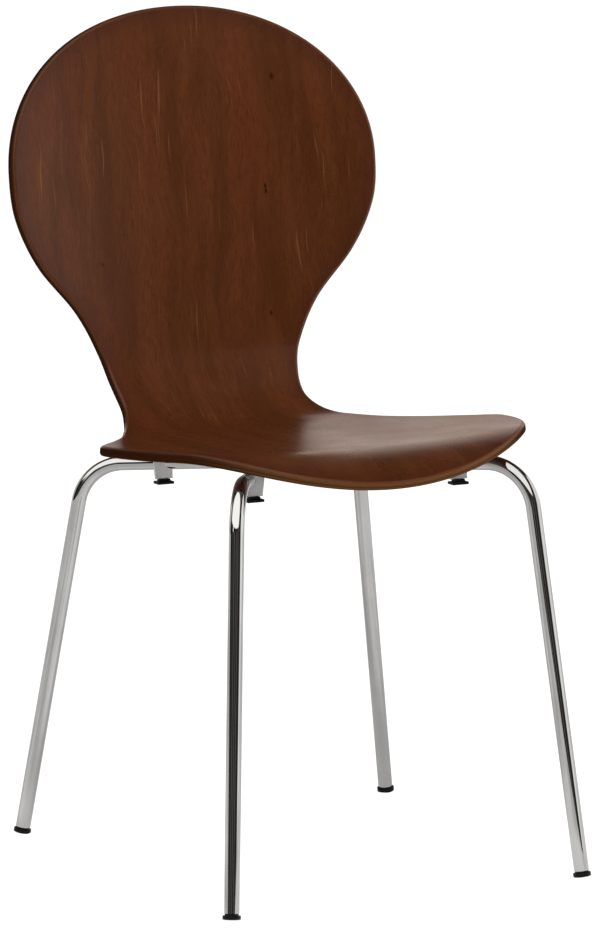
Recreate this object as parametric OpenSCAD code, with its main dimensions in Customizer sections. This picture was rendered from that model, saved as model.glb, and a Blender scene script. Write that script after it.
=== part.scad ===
// Stacking chair: one-piece moulded plywood shell on four bent steel leg tubes.
// Millimetres, +Z up.  The origin is on the floor, under the middle of the chair.
// The sitter faces -Y; +X is the sitter's left.

/* [Shell profile] */
// front end of the shell's middle line, distance in front of the origin
shell_front_y = -241; // [-290:0.1:-190]
// height of that front end above the floor
shell_front_z = 429.8; // [380:0.1:480]
// rise of the shell at its front edge, degrees
front_rise = 33; // [0:0.5:60]
// [length, slope at its end in degrees] of each bend along the middle line
profile = [[98, -6], [275, 1], [140, 80], [112, 86.5], [262, 78]];
// plywood thickness
shell_t = 11; // [8:0.1:14]
// [distance along the middle line, hollow across the shell at 200 mm out]
hollow = [[0, 8], [98, 10], [333, 10], [444, 14], [573, 16], [626, 16], [887, 14]];

/* [Shell outline] */
// length of the rounded front lobe
seat_lobe = 205; // [100:1:260]
// length of the rounded top lobe
back_lobe = 177; // [100:1:260]
// half widths: seat at its widest, through the waist, back at its widest
outline = [[205, 240.5], [246, 221], [291, 189], [334, 159.5], [377, 136], [413, 119],
    [444, 111.5], [471, 114], [508, 122.5], [556, 147], [609, 191.5], [662, 217.5], [710, 222.8]];
// roundness of the front lobe (2 is an ellipse)
front_round = 2; // [1.8:0.01:3]
// roundness of the top lobe
top_round = 2.06; // [1.8:0.01:3]

/* [Leg tubes] */
// outside diameter of the tube
tube_d = 16; // [12:0.5:25]
// wall of the tube
tube_wall = 1.5; // [1:0.1:3]
// radius of the bend, on the tube's middle line
bend_r = 52; // [30:1:90]
// front feet: half spacing
front_foot_x = 207; // [150:1:280]
// front feet: distance in front of the origin
front_foot_y = -268.4; // [-330:0.1:-210]
// rear feet: half spacing
rear_foot_x = 226; // [150:1:280]
// rear feet: distance behind the origin
rear_foot_y = 211.6; // [150:0.1:270]
// lean of the front legs, degrees from upright
front_lean = 8.4; // [0:0.1:15]
// lean of the rear legs, degrees from upright
rear_lean = 10.5; // [0:0.1:15]
// hub centre behind the origin
hub_y = 33.6; // [-30:0.1:90]
// height of the tubes' middle lines at the hub
hub_z = 420.8; // [350:0.1:480]
// the plane of the four tubes falls toward the back, degrees
frame_fall = 4; // [0:0.1:8]

/* [Hub] */
// diameter of the round hub plate
hub_d = 112; // [80:1:160]
// hub plate thickness
hub_t = 3; // [2:0.5:6]
// gap left between the tube ends at the hub centre, each side
hub_gap = 16; // [14:1:30]

/* [Brackets] */
// bracket steel thickness
bracket_t = 3; // [2:0.5:5]
// front brackets: distance in front of the origin
front_bracket_y = -153.4; // [-190:0.1:-110]
// front brackets: inner and outer side of the plate from the middle
front_bracket_x = [107, 131];
// rear brackets: distance behind the origin
rear_bracket_y = 103.6; // [60:0.1:140]
// rear brackets: inner and outer side of the plate from the middle
rear_bracket_x = [91, 115];
// plate ends this far below the tube's middle line
bracket_drop = 17; // [12:0.5:30]
// narrowing of the plate toward its lower end, on the free side
bracket_taper = 4; // [0:0.5:8]
// depth of the screw tab
tab_depth = 24; // [16:1:40]

/* [Pads and glides] */
// stacking pad foot: width, depth, height
pad_foot = [19, 13, 3];
// stacking pad neck: width, depth, height
pad_neck = [12.4, 8, 2.6];
// floor glide flange diameter
glide_d = 19; // [16:0.5:30]
// floor glide flange height
glide_h = 4; // [2:0.5:8]
// floor glide neck: diameter, height
glide_neck = [14.6, 2.3];
// plug that sits in the tube: length
glide_plug = 14; // [8:1:30]
// flat worn on the glide where it meets the floor, depth
glide_flat = 0.5; // [0:0.1:1]

/* [Fixings] */
// screw thread diameter
screw_d = 6; // [4:0.5:8]
// screw head: diameter, height
screw_head = [11, 3.3];
// washer: diameter, thickness
washer = [14, 1.2];
// threaded insert: diameter, length
insert = [9, 8.5];
// hub screws around the hub centre, [x, y]
hub_screw_xy = [[38, -4], [-38, -4], [0, -38], [0, 36]];
// rubber spacer between hub plate and shell: diameter
spacer_d = 18; // [12:1:30]

/* [Hidden] */
$fn = 96;
cols = 20;          // strips across the shell
cap_rows = 11;      // rows in each rounded lobe
mid_rows = 44;      // rows between the lobes
first_turn = 5;     // lobes start this many degrees in, leaving a short straight edge
slack = 0.2;        // play between a loose part and its hole
fit_gap = 0.5;      // room between the spacers and the curved underside
tab_gap = 1.2;      // room between the wider bracket tabs and the underside
big = 60;           // reach of cutting tools
bend_thinning = 0.05; // bending thins each side of the tube's wall by this much
seam_lap = 0.5;     // length the straights share with the bend
tongue = 2;         // tongue under each bracket that keys its pad
hollow_span = pow(200, 2);  // the hollow is given at 200 mm out, and grows as the square
seat_hollow = hollow[1][1]; // hollow over the frame
tilt_room = 0.7;    // level washers and spacers clear the sloping hub plate by this much
insert_inset = 0.6; // inserts stop this far inside the curved underside
screw_bite = 6;     // length of thread in the insert
hex_key = 4.6;      // hexagon socket in the screw head, across its corners
hex_deep = 2;       // depth of that socket
over = 1;           // cutting tools run past the face they open by this much
insert_clear = 4;   // insert holes start this far below the curved underside

seg_n = len(profile);
function seg_len(i) = profile[i][0];
function seg_a0(i) = i == 0 ? front_rise : profile[i - 1][1];
function seg_s0(i) = i == 0 ? 0 : seg_s0(i - 1) + seg_len(i - 1);
// curvature of a bend in degrees per mm, and the point t mm along it
function seg_k(i) = (profile[i][1] - seg_a0(i)) / seg_len(i);
function arc_y(i, t) = (sin(seg_a0(i) + seg_k(i) * t) - sin(seg_a0(i))) * 180 / PI / seg_k(i);
function arc_z(i, t) = (cos(seg_a0(i)) - cos(seg_a0(i) + seg_k(i) * t)) * 180 / PI / seg_k(i);
function seg_y0(i) = i == 0 ? shell_front_y : seg_y0(i - 1) + arc_y(i - 1, seg_len(i - 1));
function seg_z0(i) = i == 0 ? shell_front_z : seg_z0(i - 1) + arc_z(i - 1, seg_len(i - 1));
seg_table = [for (i = [0:seg_n - 1]) [seg_s0(i), seg_y0(i), seg_z0(i)]];
shell_len = seg_s0(seg_n - 1) + seg_len(seg_n - 1);
function seg_of(s, i = 0) =
    i == seg_n - 1 || s < seg_table[i + 1][0] ? i : seg_of(s, i + 1);
// middle line at distance s: [y, z, slope]
function mid_at(s) = let (i = seg_of(s), t = s - seg_table[i][0])
    [seg_table[i][1] + arc_y(i, t), seg_table[i][2] + arc_z(i, t), seg_a0(i) + seg_k(i) * t];

// half width of the outline at distance s
on = len(outline);
function knot_slope(i) = i == 0 || i == on - 1 || outline[i][1] == min([for (k = outline) k[1]])
    ? 0 : (outline[i + 1][1] - outline[i - 1][1]) / (outline[i + 1][0] - outline[i - 1][0]);
function knot_of(s, i = 0) = i == on - 2 || s < outline[i + 1][0] ? i : knot_of(s, i + 1);
function between(s) = let (i = knot_of(s), a = outline[i], b = outline[i + 1], h = b[0] - a[0],
        t = (s - a[0]) / h)
    (2 * pow(t, 3) - 3 * pow(t, 2) + 1) * a[1] + (pow(t, 3) - 2 * pow(t, 2) + t) * h * knot_slope(i)
    + (3 * pow(t, 2) - 2 * pow(t, 3)) * b[1] + (pow(t, 3) - pow(t, 2)) * h * knot_slope(i + 1);
function lobe(w, part, n) = w * pow(max(0, 1 - pow(part, n)), 1 / n);
back_lobe_s = shell_len - back_lobe;
function half_w(s) =
    s < seat_lobe ? lobe(outline[0][1], (seat_lobe - s) / seat_lobe, front_round)
    : s > back_lobe_s ? lobe(outline[on - 1][1], (s - back_lobe_s) / back_lobe, top_round)
    : between(s);

// one point of the shell: x across, side +1 the sitter's face, -1 the other face
function hollow_at(s) = lookup(s, hollow) / hollow_span;
function shell_point(s, x, side) = let (m = mid_at(s), c = hollow_at(s), lean = 2 * c * x,
        f = sqrt(1 + lean * lean), off = c * x * x + side * shell_t / 2 / f)
    [x - side * shell_t / 2 * lean / f, m[0] - sin(m[2]) * off, m[1] + cos(m[2]) * off];

rows_front = [for (i = [0:cap_rows - 1])
    seat_lobe * (1 - cos(first_turn + (90 - first_turn) * i / cap_rows))];
rows_mid = [for (i = [0:mid_rows]) seat_lobe + (back_lobe_s - seat_lobe) * i / mid_rows];
rows_top = [for (i = [1:cap_rows])
    back_lobe_s + back_lobe * sin((90 - first_turn) * i / cap_rows)];
rows = concat(rows_front, rows_mid, rows_top);
rn = len(rows);

// the underside of the seat above the point (x, y)
seat_line = [for (s = [0:6:420]) [mid_at(s)[0], mid_at(s)[1]]];
function underside(x, y) = lookup(y, seat_line) + seat_hollow / hollow_span * x * x - shell_t / 2;

// leg layout, measured outward from the hub
function leg_reach(fx, fy) = sqrt(fx * fx + (fy - hub_y) * (fy - hub_y));
function leg_turn(fx, fy) = atan2(fy - hub_y, fx);
function tube_rise(fx, fy) = -atan(tan(frame_fall) * (fy - hub_y) / leg_reach(fx, fy));
function corner_out(fx, fy, lean) = (leg_reach(fx, fy) - tan(lean) * hub_z)
    / (1 + tan(lean) * tan(tube_rise(fx, fy)));
function corner_z(fx, fy, lean) = hub_z + tan(tube_rise(fx, fy)) * corner_out(fx, fy, lean);
function plane_z(y) = hub_z - tan(frame_fall) * (y - hub_y);

seat_shell();
hub_plate();
front_leg(1);  // leg_tube_front_left
front_leg(-1);  // leg_tube_front_right
rear_leg(1);  // leg_tube_rear_left
rear_leg(-1);  // leg_tube_rear_right
front_bracket(1);  // bracket_front_left
front_bracket(-1);  // bracket_front_right
rear_bracket(1);  // bracket_rear_left
rear_bracket(-1);  // bracket_rear_right
front_pad(1);  // pad_front_left
front_pad(-1);  // pad_front_right
rear_pad(1);  // pad_rear_left
rear_pad(-1);  // pad_rear_right
front_glide(1);  // glide_front_left
front_glide(-1);  // glide_front_right
rear_glide(1);  // glide_rear_left
rear_glide(-1);  // glide_rear_right
hub_inserts();
bracket_inserts();
hub_screws();
bracket_screws();
hub_washers();
bracket_washers();
hub_spacers();

// ---- shell -------------------------------------------------------------

module shell_blank() {
    wide = cols + 1;
    face = rn * wide;
    top = [for (s = rows) for (j = [0:cols])
        shell_point(s, half_w(s) * (2 * j / cols - 1), 1)];
    low = [for (s = rows) for (j = [0:cols])
        shell_point(s, half_w(s) * (2 * j / cols - 1), -1)];
    skin = [for (i = [0:rn - 2]) for (j = [0:cols - 1])
        let (a = i * wide + j, b = a + 1, c = a + wide, d = c + 1)
        each [[a, d, b], [a, c, d], [a + face, b + face, d + face], [a + face, d + face, c + face]]];
    sides = [for (i = [0:rn - 2]) for (j = [0, cols])
        let (a = i * wide + j, c = a + wide)
        each j == 0 ? [[a, a + face, c + face], [a, c + face, c]]
            : [[a, c + face, a + face], [a, c, c + face]]];
    ends = [for (i = [0, rn - 1]) for (j = [0:cols - 1])
        let (a = i * wide + j, b = a + 1)
        each i == 0 ? [[a, b, b + face], [a, b + face, a + face]]
            : [[a, b + face, b], [a, a + face, b + face]]];
    polyhedron(points = concat(top, low), faces = concat(skin, sides, ends));
}

module seat_shell() {
    color("saddlebrown") difference() {
        shell_blank();
        for (p = concat(hub_points(), bracket_points()))
            translate([p[0], p[1], p[2] - insert_clear])
                cylinder(d = insert[0], h = insert[1] + insert_clear);
    }
}

// ---- tubes and hub -----------------------------------------------------

module ring(thinned = 0) {
    difference() {
        circle(d = tube_d - 2 * thinned);
        circle(d = tube_d - 2 * tube_wall + 2 * thinned);
    }
}

// a straight run along +Z, starting a little inside the bend it joins
module straight(length) {
    translate([0, 0, -seam_lap]) linear_extrude(length + seam_lap) ring();
}

// stands at the foot with +Z running up the leg, in the leg's own upright plane
module on_leg(fx, fy, lean) {
    translate([0, hub_y, 0]) rotate([0, 0, leg_turn(fx, fy)])
        translate([leg_reach(fx, fy), 0, 0]) rotate([0, -lean, 0]) children();
}

module leg(fx, fy, lean) {
    turn = round(100 * (90 - lean + tube_rise(fx, fy))) / 100;
    cut = bend_r * tan(turn / 2);
    start = glide_start(lean) + glide_h + glide_neck[1];
    leg_top = corner_z(fx, fy, lean) / cos(lean) - cut;
    run = corner_out(fx, fy, lean) / cos(tube_rise(fx, fy)) - cut - hub_gap;
    // drawn from the centre of the bend: leg down, bend, then the run to the hub
    color("silver") on_leg(fx, fy, lean) translate([-bend_r, 0, leg_top]) rotate([90, 0, 0]) {
        translate([bend_r, 0, 0]) rotate([90, 0, 0]) straight(leg_top - start);
        rotate_extrude(angle = turn) translate([bend_r, 0]) ring(bend_thinning);
        rotate([0, 0, turn]) translate([bend_r, 0, 0]) rotate([-90, 0, 0]) straight(run);
    }
}

module front_leg(side) {
    leg(side * front_foot_x, front_foot_y, front_lean);
}

module rear_leg(side) {
    leg(side * rear_foot_x, rear_foot_y, rear_lean);
}

// the solid line of one top tube, for cutting
module top_rod(fx, fy) {
    translate([0, hub_y, hub_z]) rotate([0, 0, leg_turn(fx, fy)])
        rotate([0, 90 - tube_rise(fx, fy), 0]) cylinder(d = tube_d, h = leg_reach(fx, fy));
}

// stands at the hub centre with the tubes' plane level
module at_hub() {
    translate([0, hub_y, hub_z]) rotate([-frame_fall, 0, 0]) children();
}

module hub_plate() {
    color("silver") at_hub() translate([0, 0, tube_d / 2]) difference() {
        cylinder(d = hub_d, h = hub_t);
        for (p = hub_screw_xy)
            translate([p[0], p[1], -over]) cylinder(d = screw_d + 2 * slack, h = hub_t + 2 * over);
    }
}

// ---- brackets ----------------------------------------------------------

function tab_z(x, y) = underside(x, y) - tab_gap - bracket_t;
function tab_centre(bx) = (bx[0] + bx[1]) / 2;

// plate across the chair, hugging its tube, with a screw tab at the top turned forward
module bracket(side, bx, by, free_in, fx, fy) {
    z_top = tab_z(side * tab_centre(bx), by - tab_depth / 2);
    z_low = plane_z(by) - bracket_drop;
    in_cut = free_in ? bracket_taper : 0;
    out_cut = free_in ? 0 : bracket_taper;
    color("silver") difference() {
        union() {
            translate([0, by + bracket_t / 2, 0]) rotate([90, 0, 0]) linear_extrude(bracket_t)
                polygon([for (p = [[bx[0] + in_cut, z_low], [bx[1] - out_cut, z_low],
                    [bx[1], z_top + bracket_t], [bx[0], z_top + bracket_t]]) [side * p[0], p[1]]]);
            translate([side > 0 ? bx[0] : -bx[1], by - tab_depth, z_top])
                cube([bx[1] - bx[0], tab_depth, bracket_t]);
            translate([side * pad_x(bx, free_in) - tongue / 2, by - bracket_t / 2, z_low - tongue])
                cube([tongue, bracket_t, tongue + over]);
        }
        top_rod(side * fx, fy);
        translate([side * tab_centre(bx), by - tab_depth / 2, z_top - over])
            cylinder(d = screw_d + 2 * slack, h = bracket_t + 2 * over);
    }
}
function pad_x(bx, free_in) = tab_centre(bx) + (free_in ? bracket_taper / 2 : -bracket_taper / 2);

module front_bracket(side) {
    bracket(side, front_bracket_x, front_bracket_y, true, front_foot_x, front_foot_y);
}

module rear_bracket(side) {
    bracket(side, rear_bracket_x, rear_bracket_y, false, rear_foot_x, rear_foot_y);
}

module pad(side, bx, by, free_in) {
    z_low = plane_z(by) - bracket_drop;
    color("black") translate([side * pad_x(bx, free_in), by, z_low]) difference() {
        union() {
            translate([-pad_neck[0] / 2, -pad_neck[1] / 2, -pad_neck[2]]) cube(pad_neck);
            translate([-pad_foot[0] / 2, -pad_foot[1] / 2, -pad_neck[2] - pad_foot[2]]) cube(pad_foot);
        }
        translate([-tongue / 2 - slack, -bracket_t / 2 - slack, -tongue - slack])
            cube([tongue + 2 * slack, bracket_t + 2 * slack, big]);
    }
}

module front_pad(side) {
    pad(side, front_bracket_x, front_bracket_y, true);
}

module rear_pad(side) {
    pad(side, rear_bracket_x, rear_bracket_y, false);
}

// ---- floor glides ------------------------------------------------------

function glide_start(lean) = glide_d / 2 * tan(lean) - glide_flat / cos(lean);

module glide(fx, fy, lean) {
    low = glide_start(lean);
    color("black") difference() {
        on_leg(fx, fy, lean) translate([0, 0, low]) {
            cylinder(d = glide_d, h = glide_h);
            translate([0, 0, glide_h]) cylinder(d = glide_neck[0], h = glide_neck[1]);
            translate([0, 0, glide_h + glide_neck[1]])
                cylinder(d = tube_d - 2 * tube_wall - slack, h = glide_plug);
        }
        translate([fx - big / 2, fy - big / 2, -big]) cube([big, big, big]);
    }
}

module front_glide(side) {
    glide(side * front_foot_x, front_foot_y, front_lean);
}

module rear_glide(side) {
    glide(side * rear_foot_x, rear_foot_y, rear_lean);
}

// ---- fixings -----------------------------------------------------------

// where each screw meets the underside of the shell
function hub_points() = [for (p = hub_screw_xy)
    [p[0], hub_y + p[1], underside(p[0], hub_y + p[1])]];
function bracket_points() = [
    for (b = [[front_bracket_x, front_bracket_y], [rear_bracket_x, rear_bracket_y]])
    for (side = [-1, 1]) let (x = side * tab_centre(b[0]), y = b[1] - tab_depth / 2)
        [x, y, underside(x, y)]];

// inserts stop short of the curved underside so they never stand proud
module insert_nut() {
    color("gray") translate([0, 0, insert_inset]) difference() {
        cylinder(d = insert[0] - slack, h = insert[1] - insert_inset - slack);
        translate([0, 0, -over]) cylinder(d = screw_d + slack, h = insert[1] + 2 * over);
    }
}

module hub_inserts() {
    for (p = hub_points()) translate(p) insert_nut();
}

module bracket_inserts() {
    for (p = bracket_points()) translate(p) insert_nut();
}

// screw with its head seat at z = 0, head below, thread above
module screw(reach) {
    color("gray") difference() {
        union() {
            cylinder(d = screw_d, h = reach);
            translate([0, 0, -screw_head[1]]) cylinder(d = screw_head[0], h = screw_head[1]);
        }
        translate([0, 0, -screw_head[1] - over]) cylinder(d = hex_key, h = hex_deep + over, $fn = 6);
    }
}

function hub_seat(p) = hub_z + tube_d / 2 - tan(frame_fall) * (p[1] - hub_y) - washer[1] - tilt_room;
function tab_seat(p) = p[2] - tab_gap - bracket_t - washer[1];

module hub_screws() {
    for (p = hub_points()) translate([p[0], p[1], hub_seat(p)]) screw(p[2] - hub_seat(p) + screw_bite);
}

module bracket_screws() {
    for (p = bracket_points()) translate([p[0], p[1], tab_seat(p)]) screw(p[2] - tab_seat(p) + screw_bite);
}

module washer_ring() {
    difference() {
        cylinder(d = washer[0], h = washer[1]);
        translate([0, 0, -over]) cylinder(d = screw_d + 2 * slack, h = washer[1] + 2 * over);
    }
}

module hub_washers() {
    color("gray") for (p = hub_points()) translate([p[0], p[1], hub_seat(p)]) washer_ring();
}

module bracket_washers() {
    color("gray") for (p = bracket_points()) translate([p[0], p[1], tab_seat(p)]) washer_ring();
}

module hub_spacers() {
    color("black") for (p = hub_points()) {
        low = hub_z + tube_d / 2 + hub_t - tan(frame_fall) * (p[1] - hub_y) + tilt_room;
        translate([p[0], p[1], low]) difference() {
            cylinder(d = spacer_d, h = p[2] - fit_gap - low);
            translate([0, 0, -over]) cylinder(d = screw_d + 2 * slack, h = big);
        }
    }
}
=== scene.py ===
# %% [markdown]
# # A plywood stacking chair
# The chair is one sheet of moulded plywood on four bent steel tubes. The
# engineering model is loaded first and stays fixed, so each piece made here
# has its place already. Lengths are in metres, +Z is up and the sitter faces -Y.

# %% Load the engineering model
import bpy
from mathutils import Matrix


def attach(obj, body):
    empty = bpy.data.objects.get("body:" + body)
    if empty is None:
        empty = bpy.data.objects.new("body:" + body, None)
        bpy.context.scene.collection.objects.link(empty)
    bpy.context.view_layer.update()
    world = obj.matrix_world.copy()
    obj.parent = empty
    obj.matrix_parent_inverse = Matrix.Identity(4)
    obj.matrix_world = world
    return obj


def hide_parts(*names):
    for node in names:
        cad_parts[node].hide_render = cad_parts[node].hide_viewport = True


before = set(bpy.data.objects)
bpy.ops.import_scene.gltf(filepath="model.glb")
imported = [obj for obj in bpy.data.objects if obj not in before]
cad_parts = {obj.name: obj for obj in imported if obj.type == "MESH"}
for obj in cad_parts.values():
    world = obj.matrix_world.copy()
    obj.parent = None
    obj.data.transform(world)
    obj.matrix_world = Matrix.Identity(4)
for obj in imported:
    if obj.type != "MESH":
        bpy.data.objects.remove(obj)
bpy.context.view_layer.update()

# %% Shared tools
import math

import bmesh
import bpy
import numpy as np
from mathutils import Matrix, Vector

MM = 0.001


def deselect():
    if bpy.context.object and bpy.context.object.mode == "EDIT":
        bpy.ops.object.mode_set(mode="OBJECT")
    bpy.ops.object.select_all(action="DESELECT")


def finish_piece(piece, name, node):
    """Names a piece, fixes its place in its mesh and lets it stand for its CAD node."""
    deselect()
    bpy.context.view_layer.objects.active = piece
    piece.select_set(True)
    bpy.ops.object.transform_apply(location=True, rotation=True, scale=True)
    piece.name = name
    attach(piece, "root")
    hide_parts(node)
    deselect()
    print(name, "has", len(piece.data.polygons), "faces")


# %% [markdown]
# ## The camera
# A long lens from about six metres keeps the four legs nearly parallel, the way
# furniture is usually shown. It looks across the chair's right front corner
# from a little above the seat.

# %% Place the camera
LOOK_AT = Vector((-0.003, -0.0284, 0.4252))
CAMERA_DISTANCE, LENS, SENSOR_WIDTH, SEES_TO = 6.0, 218.2, 36.0, 200.0
TURN, DOWN, ROLL = math.radians(27.0), math.radians(8.81), math.radians(-0.34)
look = Vector((math.sin(TURN) * math.cos(DOWN), math.cos(TURN) * math.cos(DOWN), -math.sin(DOWN)))
right = look.cross(Vector((0, 0, 1))).normalized()
right = right * math.cos(ROLL) + right.cross(look) * math.sin(ROLL)
up = right.cross(look)
camera_data = bpy.data.cameras.new("studio_camera")
camera_data.sensor_width, camera_data.lens, camera_data.clip_end = SENSOR_WIDTH, LENS, SEES_TO
camera = bpy.data.objects.new("studio_camera", camera_data)
bpy.context.scene.collection.objects.link(camera)
turned = Matrix((right, up, -look)).transposed().to_4x4()
camera.matrix_world = Matrix.Translation(LOOK_AT - look * CAMERA_DISTANCE) @ turned
bpy.context.scene.camera = camera
print("camera at", [round(c, 3) for c in camera.location])

# %% [markdown]
# ## The shape of the shell
# The real shell is a stack of veneers pressed in one mould: it bends along its
# middle line and is slightly hollow across. Here the middle line is a chain of
# arcs, each given by its length and the slope where it ends, and the outline is
# a half width at each distance along that line. Both repeat the CAD numbers.
# Both are in millimetres, along from the front and across from the middle.

# %% The shell's numbers: bends are (length, slope at its end), hollows (place, rise)
PLY = 11 * MM
FRONT_Y, FRONT_Z, FRONT_RISE = -0.2410, 0.4298, 33.0
BENDS = [(98, -6), (275, 1), (140, 80), (112, 86.5), (262, 78)]
WAIST_AT = 444
HOLLOW_REACH = 200.0  # each rise is measured this far out from the middle line
HOLLOW = [(0, 8), (98, 10), (333, 10), (WAIST_AT, 14), (573, 16), (626, 16), (887, 14)]
SEAT_LOBE, BACK_LOBE, FRONT_ROUND, TOP_ROUND = 205.0, 177.0, 2.0, 2.06
WIDTHS = [
    (205, 240.5), (246, 221), (291, 189), (334, 159.5), (377, 136), (413, 119), (WAIST_AT, 111.5),
    (471, 114), (508, 122.5), (556, 147), (609, 191.5), (662, 217.5), (710, 222.8),
]
SHELL_LENGTH = sum(length for length, slope in BENDS)


# %% The middle line, the width and the sheet between them
def middle_line(s):
    """Height, depth and slope of the middle line at s millimetres from the front."""
    y, z, slope, start = FRONT_Y / MM, FRONT_Z / MM, FRONT_RISE, 0.0
    for number, (length, end_slope) in enumerate(BENDS):
        curve = math.radians(end_slope - slope) / length
        last = number == len(BENDS) - 1
        t = s - start if last or s < start + length else length
        a0 = math.radians(slope)
        a1 = a0 + curve * t
        y += (math.sin(a1) - math.sin(a0)) / curve
        z += (math.cos(a0) - math.cos(a1)) / curve
        if t != length or last:
            return y, z, a1
        slope, start = end_slope, start + length


def half_width(s):
    """Half the width of the outline at s, smooth through the waist."""
    if s < SEAT_LOBE:
        part = (SEAT_LOBE - s) / SEAT_LOBE
        return WIDTHS[0][1] * max(0.0, 1 - part**FRONT_ROUND) ** (1 / FRONT_ROUND)
    if s > SHELL_LENGTH - BACK_LOBE:
        part = (s - SHELL_LENGTH + BACK_LOBE) / BACK_LOBE
        return WIDTHS[-1][1] * max(0.0, 1 - part**TOP_ROUND) ** (1 / TOP_ROUND)
    waist = min(w for _, w in WIDTHS)

    def slope_at(i):
        if i in (0, len(WIDTHS) - 1) or WIDTHS[i][1] == waist:
            return 0.0
        return (WIDTHS[i + 1][1] - WIDTHS[i - 1][1]) / (WIDTHS[i + 1][0] - WIDTHS[i - 1][0])

    i = max(k for k in range(len(WIDTHS) - 1) if WIDTHS[k][0] <= s)
    (s0, w0), (s1, w1) = WIDTHS[i], WIDTHS[i + 1]
    h = s1 - s0
    t = (s - s0) / h
    return (
        (2 * t**3 - 3 * t**2 + 1) * w0 + (t**3 - 2 * t**2 + t) * h * slope_at(i)
        + (3 * t**2 - 2 * t**3) * w1 + (t**3 - t**2) * h * slope_at(i + 1)
    )


def sheet_point(across, s):
    """A point on the middle of the ply, and the direction out of the sitter's face."""
    y, z, slope = middle_line(s)
    hollow = np.interp(s, *zip(*HOLLOW)) / HOLLOW_REACH**2
    out = Vector((0, -math.sin(slope), math.cos(slope)))
    place = Vector((across, y, z)) + out * (hollow * across * across)
    return place * MM, (out - Vector((2 * hollow * across, 0, 0))).normalized()


print("shell middle line", SHELL_LENGTH, "mm, waist", round(2 * half_width(WAIST_AT)), "mm")

# %% [markdown]
# ## The plywood shell
# A grid whose four sides are bent round to follow the outline keeps even faces
# right up to the rounded ends, which a grid squeezed to a point would not. Its
# rows crowd toward the outline, where the edge is sanded round. The sheet is
# thickened equally to both sides, like veneers laid up on a mould, and then the
# last few millimetres are drawn in to a soft, nearly half-round edge.

# %% Lay the grid out as the moulded sheet
def open_edges(piece):
    """Pairs of vertex indices along the open edge of a sheet."""
    sheet = bmesh.new()
    sheet.from_mesh(piece.data)
    found = [(e.verts[0].index, e.verts[1].index) for e in sheet.edges if e.is_boundary]
    sheet.free()
    return np.array(found)


def gap_to_segments(point, starts, ends):
    """Distance from a flat point to the nearest of many segments."""
    runs = ends - starts
    part = ((point - starts) * runs).sum(1) / (runs * runs).sum(1)
    nearest = starts + runs * np.clip(part, 0.0, 1.0)[:, None]
    return np.hypot(*(point - nearest).T).min()


GRID_ACROSS, GRID_ALONG, AT_A_POINT = 96, 184, 1e-6
deselect()
bpy.ops.mesh.primitive_grid_add(x_subdivisions=GRID_ACROSS, y_subdivisions=GRID_ALONG, size=2)
shell = bpy.context.object
places = []
for vertex in shell.data.vertices:
    u, v = math.sin(vertex.co.x * math.pi / 2), math.sin(vertex.co.y * math.pi / 2)
    p, q = u * math.sqrt(1 - v * v / 2), v * math.sqrt(1 - u * u / 2)
    s = min(max(SHELL_LENGTH * (1 + q) / 2, 0.0), SHELL_LENGTH)
    reach = math.sqrt(max(1 - q * q, 0.0))
    across = half_width(s) * p / reach if reach > AT_A_POINT else 0.0
    vertex.co = sheet_point(across, s)[0]
    places.append((across, s))
lay = shell.data.attributes.new("lay", "FLOAT_VECTOR", "POINT")
lay.data.foreach_set("vector", [c for a, s in places for c in (a * MM, s * MM, 0.0)])

# %% Measure how far each point is from the edge
flat_places = np.array(places) * MM
rim = flat_places[open_edges(shell)]
gaps = [gap_to_segments(place, rim[:, 0], rim[:, 1]) for place in flat_places]
shell.data.attributes.new("from_edge", "FLOAT", "POINT").data.foreach_set("value", gaps)
print("middle of the back is", round(max(gaps) / MM), "mm from the edge")

# %% Thicken it
shell.data.materials.append(bpy.data.materials.new("walnut_stained_veneer"))
shell.data.materials.append(bpy.data.materials.new("plywood_edge"))
bpy.ops.object.modifier_add(type="SOLIDIFY")
solidify = shell.modifiers[-1]
solidify.thickness, solidify.offset, solidify.use_even_offset = PLY, 0.0, True
solidify.material_offset_rim = 1
bpy.ops.object.modifier_apply(modifier=solidify.name)
bpy.ops.object.shade_smooth()

# %% Round the edge, and store each point's place in the veneer: across, along, through
EDGE_ROUND, EDGE_FLAT = 4.0 * MM, 3.2 * MM
lay = shell.data.attributes["lay"]
count = len(shell.data.vertices)
coords, gaps = np.zeros(count * 3), np.zeros(count)
lay.data.foreach_get("vector", coords)
shell.data.attributes["from_edge"].data.foreach_get("value", gaps)
coords = coords.reshape(-1, 3)
for vertex, place, gap in zip(shell.data.vertices, coords, gaps):
    middle, out = sheet_point(place[0] / MM, place[1] / MM)
    side = math.copysign(1.0, (vertex.co - middle).dot(out))
    short = max(1 - gap / EDGE_ROUND, 0.0)
    place[2] = side * (EDGE_FLAT / 2 + (PLY - EDGE_FLAT) / 2 * math.sqrt(1 - short * short))
    vertex.co = middle + out * place[2]
lay.data.foreach_set("vector", coords.ravel())
for face in shell.data.polygons:
    if max(gaps[list(face.vertices)]) < EDGE_ROUND:
        face.material_index = 1
print("thickness", round((coords[:, 2].max() - coords[:, 2].min()) / MM, 2), "mm")
finish_piece(shell, "plywood_shell", "seat_shell")

# %% [markdown]
# ## The leg tubes
# Each leg is a length of 16 mm tube, bent once. A ring is drawn out along the
# leg, spun round the bend and drawn out again toward the hub, as the tube goes
# through the bender, and then it is given its wall.

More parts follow.
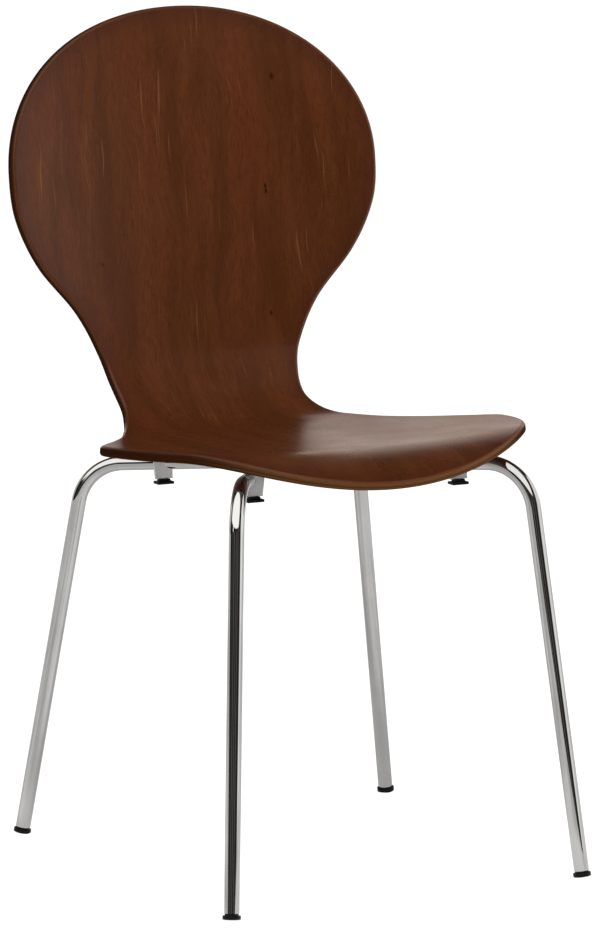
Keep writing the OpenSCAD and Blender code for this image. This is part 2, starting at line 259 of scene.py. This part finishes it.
# %% Numbers of the frame
TUBE_R, TUBE_WALL, BEND_R = 8 * MM, 1.5 * MM, 52 * MM
RING_POINTS, BEND_STEPS, SAME_PLACE = 64, 44, 0.001 * MM
SHARP = math.radians(40)
HUB_Y, HUB_Z, HUB_GAP = 33.6 * MM, 420.8 * MM, 16 * MM  # the tubes stop a gap short of the middle
FRAME_FALL = math.radians(4)
GLIDE_R, GLIDE_H, GLIDE_NECK_H, GLIDE_FLAT = 9.5 * MM, 4 * MM, 2.3 * MM, 0.5 * MM
# Each foot: metres to the side, metres back, and the leg's lean in degrees.
FEET = {
    "front_left": (0.207, -0.2684, 8.4), "front_right": (-0.207, -0.2684, 8.4),
    "rear_left": (0.226, 0.2116, 10.5), "rear_right": (-0.226, 0.2116, 10.5),
}


def leg_layout(foot_x, foot_y, lean_degrees):
    """The leg's matrix, turn of its bend, and lengths along it."""
    lean = math.radians(lean_degrees)
    reach = math.hypot(foot_x, foot_y - HUB_Y)
    rise = -math.atan(math.tan(FRAME_FALL) * (foot_y - HUB_Y) / reach)
    corner_out = (reach - math.tan(lean) * HUB_Z) / (1 + math.tan(lean) * math.tan(rise))
    corner_z = HUB_Z + math.tan(rise) * corner_out
    turn = math.pi / 2 - lean + rise
    cut = BEND_R * math.tan(turn / 2)
    low = GLIDE_R * math.tan(lean) - GLIDE_FLAT / math.cos(lean) + GLIDE_H + GLIDE_NECK_H
    place = (
        Matrix.Translation((0, HUB_Y, 0))
        @ Matrix.Rotation(math.atan2(foot_y - HUB_Y, foot_x), 4, "Z")
        @ Matrix.Translation((reach, 0, 0))
        @ Matrix.Rotation(-lean, 4, "Y")
    )
    run = corner_out / math.cos(rise) - cut - HUB_GAP
    return place, turn, low, corner_z / math.cos(lean) - cut, run


# %% Draw, bend and wall each tube
def make_tube(corner):
    place, turn, low, top, run = leg_layout(*FEET[corner])
    deselect()
    bpy.ops.mesh.primitive_circle_add(vertices=RING_POINTS, radius=TUBE_R, location=(0, 0, low))
    tube = bpy.context.object
    bpy.ops.object.transform_apply(location=True, rotation=False, scale=False)
    bpy.ops.object.mode_set(mode="EDIT")
    bpy.ops.mesh.select_all(action="SELECT")
    bpy.ops.mesh.extrude_region_move(TRANSFORM_OT_translate={"value": (0, 0, top - low)})
    bpy.ops.mesh.spin(steps=BEND_STEPS, angle=turn, center=(-BEND_R, 0, top), axis=(0, 1, 0))
    along = Vector((-math.sin(turn), 0, math.cos(turn))) * run
    bpy.ops.mesh.extrude_region_move(TRANSFORM_OT_translate={"value": along})
    bpy.ops.mesh.select_all(action="SELECT")
    bpy.ops.mesh.remove_doubles(threshold=SAME_PLACE)
    bpy.ops.mesh.normals_make_consistent(inside=False)
    bpy.ops.object.mode_set(mode="OBJECT")
    bpy.ops.object.modifier_add(type="SOLIDIFY")
    tube.modifiers[-1].thickness, tube.modifiers[-1].offset = TUBE_WALL, -1.0
    bpy.ops.object.modifier_apply(modifier=tube.modifiers[-1].name)
    bpy.ops.object.shade_smooth_by_angle(angle=SHARP)
    tube.matrix_world = place
    finish_piece(tube, "leg_" + corner, "leg_tube_" + corner)
    return tube


tubes = {corner: make_tube(corner) for corner in FEET}

# %% [markdown]
# ## Small hardware
# The brackets, pads, glides, hub plate and fixings already have their true
# shape. Real edges are never knife sharp, so each is welded into one skin and
# gets a small bevel, live, with its own mesh left alone.

# %% Ease the edges of the hardware, each kind by its own width in millimetres
WELD_GAP, FLAT_ENOUGH, EASE_STEPS = 0.01 * MM, math.radians(0.5), 3
EASING = {
    "hub_plate": 0.5, "bracket": 0.45, "pad": 0.5, "glide": 0.5,
    "hub_screws": 0.35, "bracket_screws": 0.35, "hub_washers": 0.2,
    "bracket_washers": 0.2, "hub_spacers": 0.4, "hub_inserts": 0.2, "bracket_inserts": 0.2,
}
for node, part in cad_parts.items():
    kind = node if node in EASING else node.split("_")[0]
    if kind not in EASING:
        continue
    weld = part.modifiers.new("one_skin", "WELD")
    weld.merge_threshold = WELD_GAP
    flat = part.modifiers.new("flat_faces", "DECIMATE")
    flat.decimate_type, flat.angle_limit = "DISSOLVE", FLAT_ENOUGH
    ease = part.modifiers.new("eased_edges", "BEVEL")
    ease.width, ease.segments, ease.limit_method = EASING[kind] * MM, EASE_STEPS, "ANGLE"
    ease.angle_limit, ease.harden_normals = SHARP, True
print("eased", len(EASING), "kinds of hardware")

# %% [markdown]
# ## Effects the finishes share
# Nothing real is the same all over. These groups give soft clouding, fine
# scratches and wood grain, each built once and used with its own values.

# %% A small helper for wiring nodes
class Wiring:
    """Adds nodes to a tree and joins them in one line each."""

    def __init__(self, tree):
        self.tree = tree

    def add(self, kind, settings=None, **inputs):
        node = self.tree.nodes.new(kind)
        for key, value in (settings or {}).items():
            setattr(node, key, value)
        for key, value in inputs.items():
            socket = node.inputs[int(key[1:]) if key[1:].isdigit() else key.replace("_", " ")]
            if isinstance(value, bpy.types.NodeSocket):
                self.join(value, socket)
            else:
                socket.default_value = value
        return node

    def math(self, operation, a, b=0.0):
        return self.add("ShaderNodeMath", {"operation": operation}, i0=a, i1=b).outputs[0]

    def remap(self, value, low, high, new_low=0.0, new_high=1.0):
        node = self.add("ShaderNodeMapRange", {"interpolation_type": "SMOOTHSTEP"},
                        i0=value, i1=low, i2=high, i3=new_low, i4=new_high)
        return node.outputs[0]

    def stretch(self, vector, scale):
        return self.vector("MULTIPLY", vector, scale).outputs[0]

    def noise(self, vector, scale, detail, rough):
        return self.add("ShaderNodeTexNoise", None, Vector=vector, Scale=scale,
                        Detail=detail, Roughness=rough).outputs[0]

    def mix(self, factor, a, b):
        return self.add("ShaderNodeMix", {"data_type": "RGBA"}, i0=factor, i6=a, i7=b).outputs[2]

    def vector(self, operation, a, b=(0.0, 0.0, 0.0)):
        return self.add("ShaderNodeVectorMath", {"operation": operation}, i0=a, i1=b)

    def join(self, value, socket):
        self.tree.links.new(value, socket)


def new_group(name, inputs, outputs):
    """A shader node group: inputs are (name, type, default), outputs are (name, type)."""
    tree = bpy.data.node_groups.new(name, "ShaderNodeTree")
    for label, kind, value in inputs:
        socket = tree.interface.new_socket(label, in_out="INPUT", socket_type=kind)
        if value is not None:
            socket.default_value = value
    for label, kind in outputs:
        tree.interface.new_socket(label, in_out="OUTPUT", socket_type=kind)
    return tree, tree.nodes.new("NodeGroupInput"), tree.nodes.new("NodeGroupOutput")


FLOAT, VECTOR = "NodeSocketFloat", "NodeSocketVector"

# %% Clouding: slow, uneven change such as handling leaves
clouding, inside, outside = new_group(
    "clouding",
    [("Place", VECTOR, None), ("Scale", FLOAT, 20.0), ("Low", FLOAT, 0.0), ("High", FLOAT, 1.0)],
    [("Value", FLOAT)])
wire = Wiring(clouding)
cloud = wire.noise(inside.outputs["Place"], inside.outputs["Scale"], 4.0, 0.6)
spread = wire.remap(cloud, 0.3, 0.7, inside.outputs["Low"], inside.outputs["High"])
wire.join(spread, outside.inputs["Value"])

# %% Scuffs: sparse hairline scratches
scuffs, inside, outside = new_group(
    "scuffs", [("Place", VECTOR, None), ("Scale", FLOAT, 200.0), ("Amount", FLOAT, 0.5)], [("Mask", FLOAT)])
HAIRLINE = 0.012
wire = Wiring(scuffs)
bent = wire.noise(inside.outputs["Place"], inside.outputs["Scale"], 1.0, 0.5)
line = wire.math("ABSOLUTE", wire.math("SUBTRACT", bent, 0.5))
thin = wire.remap(line, 0.0, HAIRLINE, 1.0, 0.0)
patch = wire.remap(wire.noise(inside.outputs["Place"], 35.0, 2.0, 0.5), 0.52, 0.66)
mask = wire.math("MULTIPLY", wire.math("MULTIPLY", thin, patch), inside.outputs["Amount"])
wire.join(mask, outside.inputs["Mask"])

# %% Wood grain: fibres, slow figure, soft patches and pale flecks along the sheet
grain, inside, outside = new_group(
    "wood_grain", [("Lay", VECTOR, None)],
    [("Fibre", FLOAT), ("Figure", FLOAT), ("Patch", FLOAT), ("Fleck", FLOAT)])
wire = Wiring(grain)
lay_in = inside.outputs["Lay"]
SWAY = 0.05  # metres that the grain wanders sideways
sway = wire.noise(wire.stretch(lay_in, (11.0, 5.0, 1.0)), 1.0, 2.0, 0.5)
sideways = wire.math("MULTIPLY", wire.math("SUBTRACT", sway, 0.5), SWAY)
shift = wire.add("ShaderNodeCombineXYZ", None, X=sideways)
wavy = wire.vector("ADD", lay_in, shift.outputs[0]).outputs[0]
fibre = wire.noise(wire.stretch(wavy, (1300.0, 90.0, 260.0)), 1.0, 4.0, 0.65)
figure = wire.noise(wire.stretch(wavy, (70.0, 6.0, 40.0)), 1.0, 4.0, 0.55)
patch = wire.noise(wire.stretch(wavy, (22.0, 4.0, 20.0)), 1.0, 3.0, 0.55)
bunch = wire.remap(wire.noise(wire.stretch(lay_in, (16.0, 9.0, 20.0)), 1.0, 1.0, 0.5), 0.50, 0.62)
line = wire.noise(wire.stretch(wavy, (640.0, 12.0, 100.0)), 1.0, 0.0, 0.5)
fleck = wire.math("MULTIPLY", wire.remap(line, 0.72, 0.80), bunch)
for value, label in ((fibre, "Fibre"), (figure, "Figure"), (patch, "Patch"), (fleck, "Fleck")):
    wire.join(value, outside.inputs[label])
print("groups", [g.name for g in bpy.data.node_groups])

# %% [markdown]
# ## The finishes
# The faces are one wide veneer stained dark walnut, under satin lacquer. The
# edge shows the ends of the veneers as thin stripes, stained unevenly because
# end grain drinks more.

# %% Start a material with its shader
def new_finish(name, **constants):
    material = bpy.data.materials.get(name) or bpy.data.materials.new(name)
    material.use_nodes = True
    material.node_tree.nodes.clear()
    wire = Wiring(material.node_tree)
    shader = wire.add("ShaderNodeBsdfPrincipled", None, **constants)
    output = wire.add("ShaderNodeOutputMaterial")
    wire.join(shader.outputs[0], output.inputs["Surface"])
    return material, wire, shader


def use_group(wire, tree, **inputs):
    node = wire.add("ShaderNodeGroup", {"node_tree": tree})
    for label, value in inputs.items():
        if isinstance(value, bpy.types.NodeSocket):
            wire.join(value, node.inputs[label])
        else:
            node.inputs[label].default_value = value
    return node


def add_bump(wire, shader, height, distance, strength):
    bump = wire.add("ShaderNodeBump", None, Height=height, Distance=distance, Strength=strength)
    wire.join(bump.outputs[0], shader.inputs["Normal"])


def add_cloudy_roughness(wire, shader, place, scale, low, high):
    clouds = use_group(wire, clouding, Place=place, Scale=scale, Low=low, High=high)
    wire.join(clouds.outputs["Value"], shader.inputs["Roughness"])


# %% Walnut-stained veneer
BROWN, DARK_BROWN = (0.094, 0.0260, 0.0070, 1), (0.069, 0.0183, 0.0048, 1)
RED_BROWN, OLIVE_BROWN = (0.108, 0.0270, 0.0078, 1), (0.075, 0.0220, 0.0046, 1)
FIBRE_BROWN, FLECK_BROWN = (0.038, 0.0105, 0.0036, 1), (0.27, 0.115, 0.042, 1)
KNOT_BROWN, EDGE_SHADE_BROWN = (0.012, 0.004, 0.002, 1), (0.045, 0.0120, 0.0060, 1)
WARM_SHEEN = (1.0, 0.86, 0.76, 1)
KNOT_CORE, KNOT_HALO, KNOT_LENGTHENS = 0.8 * MM, 2.4 * MM, 0.55
# How far in from the outline the painted shade on the veneer reaches.
EDGE_SHADE_REACH = 30 * MM
# Pin knots: metres across, metres along, size.
PIN_KNOTS = [
    (0.106, 0.804, 1.2), (0.090, 0.684, 0.9), (0.0905, 0.678, 0.9), (0.090, 0.542, 0.9),
    (-0.114, 0.608, 0.8),
]
veneer, wire, shader = new_finish(
    "walnut_stained_veneer", Coat_Weight=0.10, Coat_Roughness=0.13, Coat_IOR=1.45, IOR=1.33,
    Specular_Tint=WARM_SHEEN)
lay_here = wire.add("ShaderNodeAttribute", {"attribute_name": "lay"}).outputs["Vector"]
wood = use_group(wire, grain, Lay=lay_here)
stain = wire.mix(wire.remap(wood.outputs["Figure"], 0.36, 0.64), DARK_BROWN, BROWN)
stain = wire.mix(wire.remap(wood.outputs["Patch"], 0.42, 0.64, 0.0, 0.75), stain, RED_BROWN)
stain = wire.mix(wire.remap(wood.outputs["Patch"], 0.34, 0.50, 0.55, 0.0), stain, OLIVE_BROWN)
stain = wire.mix(wire.remap(wood.outputs["Fibre"], 0.44, 0.62, 0.0, 0.58), stain, FIBRE_BROWN)
stain = wire.mix(wire.math("MULTIPLY", wood.outputs["Fleck"], 0.30), stain, FLECK_BROWN)
for across, along, size in PIN_KNOTS:
    apart = wire.vector("SUBTRACT", lay_here, (across, along, 0.0)).outputs[0]
    away = wire.vector("LENGTH", wire.stretch(apart, (1.0, KNOT_LENGTHENS, 0.0))).outputs["Value"]
    stain = wire.mix(wire.remap(away, KNOT_CORE * size, KNOT_HALO * size, 0.9, 0.0), stain, KNOT_BROWN)
# Painted shade: the veneer is darkened toward the outline, strongest at the edge and gone 30 mm in.
from_edge = wire.add("ShaderNodeAttribute", {"attribute_name": "from_edge"}).outputs["Fac"]
stain = wire.mix(wire.remap(from_edge, 0.0, EDGE_SHADE_REACH, 0.55, 0.0), stain, EDGE_SHADE_BROWN)
wire.join(stain, shader.inputs["Base Color"])
add_cloudy_roughness(wire, shader, lay_here, 14.0, 0.25, 0.32)
add_bump(wire, shader, wood.outputs["Fibre"], 0.00004, 0.2)

# %% Plywood edge, striped by the veneers
PLIES = 9
GLUE_BROWN = (0.012, 0.0044, 0.0024, 1)
PALE_PLY, DARK_PLY = (0.150, 0.064, 0.024, 1), (0.040, 0.0120, 0.0048, 1)
GLUE_WOBBLE = 0.6 * MM
FRONT_PALE_TO, FRONT_DARK_FROM = 20 * MM, 90 * MM
edge, wire, shader = new_finish("plywood_edge", IOR=1.33)
lay_here = wire.add("ShaderNodeAttribute", {"attribute_name": "lay"}).outputs["Vector"]
places = wire.add("ShaderNodeSeparateXYZ", None, Vector=lay_here)
through = places.outputs["Z"]
unsteady = wire.math("SUBTRACT", wire.noise(lay_here, 45.0, 2.0, 0.5), 0.5)
wobble = wire.math("MULTIPLY", unsteady, GLUE_WOBBLE)
ply_at = wire.math("ADD", wire.math("DIVIDE", wire.math("ADD", through, wobble), PLY / PLIES), PLIES / 2)
own_tone = wire.add(
    "ShaderNodeTexWhiteNoise", {"noise_dimensions": "1D"}, W=wire.math("FLOOR", ply_at)).outputs["Value"]
glue = wire.remap(wire.math("PINGPONG", ply_at, 0.5), 0.03, 0.13, 1.0, 0.0)
ends = wire.noise(wire.stretch(lay_here, (520.0, 520.0, 1500.0)), 1.0, 3.0, 0.6)
front_grain = wire.remap(places.outputs["Y"], FRONT_PALE_TO, FRONT_DARK_FROM, 1.0, 0.10)
paleness = wire.math("MULTIPLY", wire.remap(own_tone, 0.1, 0.8, 0.35, 1.0), front_grain)
tone = wire.mix(paleness, DARK_PLY, PALE_PLY)
tone = wire.mix(wire.remap(ends, 0.35, 0.7, 0.0, 0.4), tone, DARK_PLY)
tone = wire.mix(wire.math("MULTIPLY", glue, 0.75), tone, GLUE_BROWN)
face_ply = wire.remap(wire.math("ABSOLUTE", through), 0.38 * PLY, 0.42 * PLY)
wire.join(wire.mix(face_ply, tone, BROWN), shader.inputs["Base Color"])
lacquer = wire.remap(through, 0.25 * PLY, 0.44 * PLY, 0.0, 0.5)
wire.join(lacquer, shader.inputs["Specular IOR Level"])
add_cloudy_roughness(wire, shader, lay_here, 50.0, 0.30, 0.42)
add_bump(wire, shader, ends, 0.00010, 0.4)
print("the shell wears", veneer.name, "and", edge.name)

# %% [markdown]
# ## Metal, nylon and rubber
# Chrome is a mirror over polished steel. Handling leaves faint haze and a few
# hairline marks, and both only change its roughness. The other small parts are
# plainer: satin plate, moulded nylon, zinc-plated fixings and dusty rubber.

# %% Where a finish reads its pattern, and a colour between two tints
def object_place(wire):
    return wire.add("ShaderNodeTexCoord").outputs["Object"]


def add_tint(wire, shader, factor, low_tint, high_tint):
    wire.join(wire.mix(factor, low_tint, high_tint), shader.inputs["Base Color"])


# %% Chrome on the tubes
CHROME_TINTS = (0.47, 0.465, 0.455, 1), (0.57, 0.565, 0.555, 1)
chrome, wire, shader = new_finish("polished_chrome", Metallic=1.0)
here = object_place(wire)
haze = use_group(wire, clouding, Place=here, Scale=26.0, Low=0.02, High=0.06)
marks = use_group(wire, scuffs, Place=here, Scale=240.0, Amount=0.25)
worn = wire.math("ADD", haze.outputs[0], wire.math("MULTIPLY", marks.outputs[0], 0.3))
wire.join(worn, shader.inputs["Roughness"])
add_tint(wire, shader, use_group(wire, clouding, Place=here, Scale=9.0).outputs[0], *CHROME_TINTS)
add_bump(wire, shader, wire.noise(here, 90.0, 2.0, 0.5), 0.00003, 0.3)

# %% Satin plate on the brackets and hub
PLATE_TINTS = (0.58, 0.58, 0.575, 1), (0.70, 0.70, 0.695, 1)
satin_steel, wire, shader = new_finish("satin_chrome_plate", Metallic=1.0)
here = object_place(wire)
add_cloudy_roughness(wire, shader, here, 60.0, 0.22, 0.36)
add_tint(wire, shader, use_group(wire, clouding, Place=here, Scale=40.0).outputs[0], *PLATE_TINTS)
add_bump(wire, shader, wire.noise(here, 300.0, 2.0, 0.5), 0.00001, 0.2)

# %% Black nylon, rubbed pale in hairlines
NYLON_TINTS = (0.004, 0.004, 0.0044, 1), (0.025, 0.025, 0.025, 1)
nylon, wire, shader = new_finish("black_nylon", IOR=1.24)
here = object_place(wire)
rub = use_group(wire, scuffs, Place=here, Scale=420.0, Amount=0.8)
add_tint(wire, shader, rub.outputs[0], *NYLON_TINTS)
add_cloudy_roughness(wire, shader, here, 120.0, 0.38, 0.55)
add_bump(wire, shader, wire.noise(here, 2600.0, 2.0, 0.6), 0.00003, 0.5)

# %% Zinc plating, spangled
ZINC_TINTS = (0.42, 0.43, 0.45, 1), (0.66, 0.67, 0.70, 1)
zinc, wire, shader = new_finish("bright_zinc", Metallic=1.0)
here = object_place(wire)
spangle = wire.noise(here, 900.0, 3.0, 0.6)
add_tint(wire, shader, spangle, *ZINC_TINTS)
add_cloudy_roughness(wire, shader, here, 300.0, 0.25, 0.45)
add_bump(wire, shader, spangle, 0.00002, 0.5)

# %% Rubber, a little dusty
RUBBER_TINTS = (0.012, 0.012, 0.012, 1), (0.030, 0.029, 0.028, 1)
rubber, wire, shader = new_finish("black_rubber", IOR=1.5)
here = object_place(wire)
add_tint(wire, shader, use_group(wire, clouding, Place=here, Scale=90.0).outputs[0], *RUBBER_TINTS)
add_cloudy_roughness(wire, shader, here, 160.0, 0.7, 0.85)
add_bump(wire, shader, wire.noise(here, 1500.0, 2.0, 0.6), 0.00004, 0.5)

# %% Give every piece its finish
FINISHES = {
    "hub_plate": satin_steel, "bracket": satin_steel, "pad": nylon, "glide": nylon,
    "hub_spacers": rubber,
}
for tube in tubes.values():
    tube.data.materials.clear()
    tube.data.materials.append(chrome)
for node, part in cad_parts.items():
    if part.hide_render:
        continue
    if node in FINISHES:
        finish = FINISHES[node]
    elif node.endswith(("screws", "washers", "inserts")):
        finish = zinc
    else:
        finish = FINISHES[node.split("_")[0]]
    if not part.material_slots:
        part.data.materials.append(finish)
    for material_slot in part.material_slots:
        material_slot.material = finish

# %% [markdown]
# ## The studio
# The chair stands on plain white with no horizon, so the floor gives off its own
# light and the camera sees a white world behind it. Chrome looks like chrome only
# when it has a room to mirror. The world is such a room, hidden from the camera:
# pale low down behind the chair, with bright panels and dark gaps between them. To
# anything but the camera the floor is duller and uneven, as a real one would be.

# %% The floor
FLOOR_FRONT, FLOOR_BACK, FLOOR_SIDE = -2.2, 40.0, 30.0
FLOOR_GREY, FLOOR_WHITE, FLOOR_DULL, FLOOR_PALE = (0.20, 0.20, 0.20, 1), 0.96, 0.44, 0.78
deselect()
bpy.ops.mesh.primitive_plane_add(size=1, location=(0, (FLOOR_FRONT + FLOOR_BACK) / 2, 0))
floor = bpy.context.object
floor.scale = (2 * FLOOR_SIDE, FLOOR_BACK - FLOOR_FRONT, 1)
bpy.ops.object.transform_apply(location=True, rotation=False, scale=True)
floor.name = "studio_floor"
pale, wire, shader = new_finish("pale_floor", Roughness=0.8)
shader.inputs["Base Color"].default_value = FLOOR_GREY
shader.inputs["Specular IOR Level"].default_value = 0.0
shader.inputs["Emission Color"].default_value = (1, 1, 1, 1)
here = object_place(wire)
uneven = wire.remap(wire.noise(here, 0.9, 2.0, 0.6), 0.40, 0.62, FLOOR_DULL, FLOOR_PALE)
by_eye = wire.add("ShaderNodeLightPath").outputs["Is Camera Ray"]
lit = wire.add("ShaderNodeMix", None, i0=by_eye, i2=uneven, i3=FLOOR_WHITE).outputs[0]
wire.join(lit, shader.inputs["Emission Strength"])

# %% Make the floor clear from below, so that the underside can be looked at
clear = wire.add("ShaderNodeBsdfTransparent")
from_below = wire.add("ShaderNodeNewGeometry").outputs["Backfacing"]
one_sided = wire.add("ShaderNodeMixShader", None, i0=from_below, i1=shader.outputs[0], i2=clear.outputs[0])
wire.join(one_sided.outputs[0], wire.tree.nodes["Material Output"].inputs["Surface"])
floor.data.materials.append(pale)

# %% The world that holds the room
BACK_GLOW, SIDE_GLOW = (0.85, 0.70, 0.61, 1), (0.72, 0.71, 0.69, 1)
PANEL_GLOW, OVER_GLOW = (1.25, 1.24, 1.22, 1), (1.6, 1.59, 1.57, 1)
DARK_ROOM, DIM_ROOM = (0.006, 0.005, 0.005, 1), (0.150, 0.143, 0.136, 1)
BEHIND, WARM_WALL = (math.sin(TURN), math.cos(TURN), 0), (0.45, 0.88, 0.15)
SIDE_PANEL, OVER_PANEL = (0.98, -0.21, 0.0), (-0.62, -0.42, 0.72)
STREAK, ACROSS_STREAK = (-0.985, -0.173, 0.0), (0.173, -0.985, 0.0)
CARDS_IN_SOFT_LIGHT = 0.42
world = bpy.data.worlds.new("studio_room")
bpy.context.scene.world = world
world.use_nodes = True
world.node_tree.nodes.clear()
wire = Wiring(world.node_tree)
direction = wire.add("ShaderNodeTexCoord").outputs["Generated"]
height = wire.add("ShaderNodeSeparateXYZ", None, Vector=direction).outputs["Z"]


def toward(place):
    """How far the view points at a place: 1 straight at it, 0 at right angles."""
    return wire.vector("DOT_PRODUCT", direction, Vector(place).normalized()[:]).outputs["Value"]


def both(a, b):
    return wire.math("MULTIPLY", a, b)


# %% The walls: dark with dim clutter, pale low down behind, warm toward one side
light_path = wire.add("ShaderNodeLightPath")
clutter = wire.noise(wire.stretch(direction, (6.0, 6.0, 0.3)), 1.0, 2.0, 0.6)
glow = wire.mix(wire.remap(clutter, 0.51, 0.57), DARK_ROOM, DIM_ROOM)
low_back = both(wire.remap(toward(BEHIND), 0.22, 0.40), wire.remap(height, 0.25, 0.55, 1.0, 0.0))
glow = wire.mix(low_back, glow, SIDE_GLOW)
glow = wire.mix(both(low_back, wire.remap(toward(WARM_WALL), 0.72, 0.90)), glow, BACK_GLOW)

# %% The panels: one to the side, one overhead and a thin streak, then plain white for the camera
side_panel = both(wire.remap(toward(SIDE_PANEL), 0.72, 0.78), wire.remap(height, 0.60, 0.70, 1.0, 0.0))
glow = wire.mix(side_panel, glow, PANEL_GLOW)
over_panel = both(wire.remap(toward(OVER_PANEL), 0.58, 0.62), wire.remap(height, 0.30, 0.36))
off_streak = wire.math("ABSOLUTE", toward(ACROSS_STREAK))
thin = both(wire.remap(off_streak, 0.05, 0.09, 1.0, 0.0), wire.remap(height, 0.14, 0.20))
streak = both(wire.remap(toward(STREAK), 0.85, 0.90), thin)
mirrored = wire.remap(light_path.outputs["Is Glossy Ray"], 0.0, 1.0, CARDS_IN_SOFT_LIGHT, 1.0)
glow = wire.mix(both(wire.math("MAXIMUM", over_panel, streak), mirrored), glow, OVER_GLOW)
seen = wire.mix(light_path.outputs["Is Camera Ray"], glow, (1, 1, 1, 1))
room = wire.add("ShaderNodeBackground", None, Strength=1.0, Color=seen)
world_out = wire.add("ShaderNodeOutputWorld")
wire.join(room.outputs[0], world_out.inputs["Surface"])

# %% [markdown]
# ## The lights
# Two soft lights shape the veneer: a large one high in front and a weaker one
# behind. Both are hidden from reflections, so that every bright shape in the
# chrome comes from the room and can be placed on its own.

# %% Hang the lights
MIDDLE = Vector((0, 0, 0.5))


def softbox(name, place, side, watts):
    light = bpy.data.lights.new(name, "AREA")
    light.shape, light.size, light.size_y, light.energy = "RECTANGLE", side, side, watts
    lamp = bpy.data.objects.new(name, light)
    bpy.context.scene.collection.objects.link(lamp)
    lamp.location = place
    lamp.visible_glossy = False
    lamp.rotation_euler = (MIDDLE - Vector(place)).to_track_quat("-Z", "Y").to_euler()
    print(name, watts, "watts")


softbox("back_softbox", (1.6, 3.2, 3.0), 1.4, 60)
softbox("key_softbox", (1.6, -4.3, 3.2), 1.8, 198)
bpy.context.scene.view_settings.view_transform = "Standard"
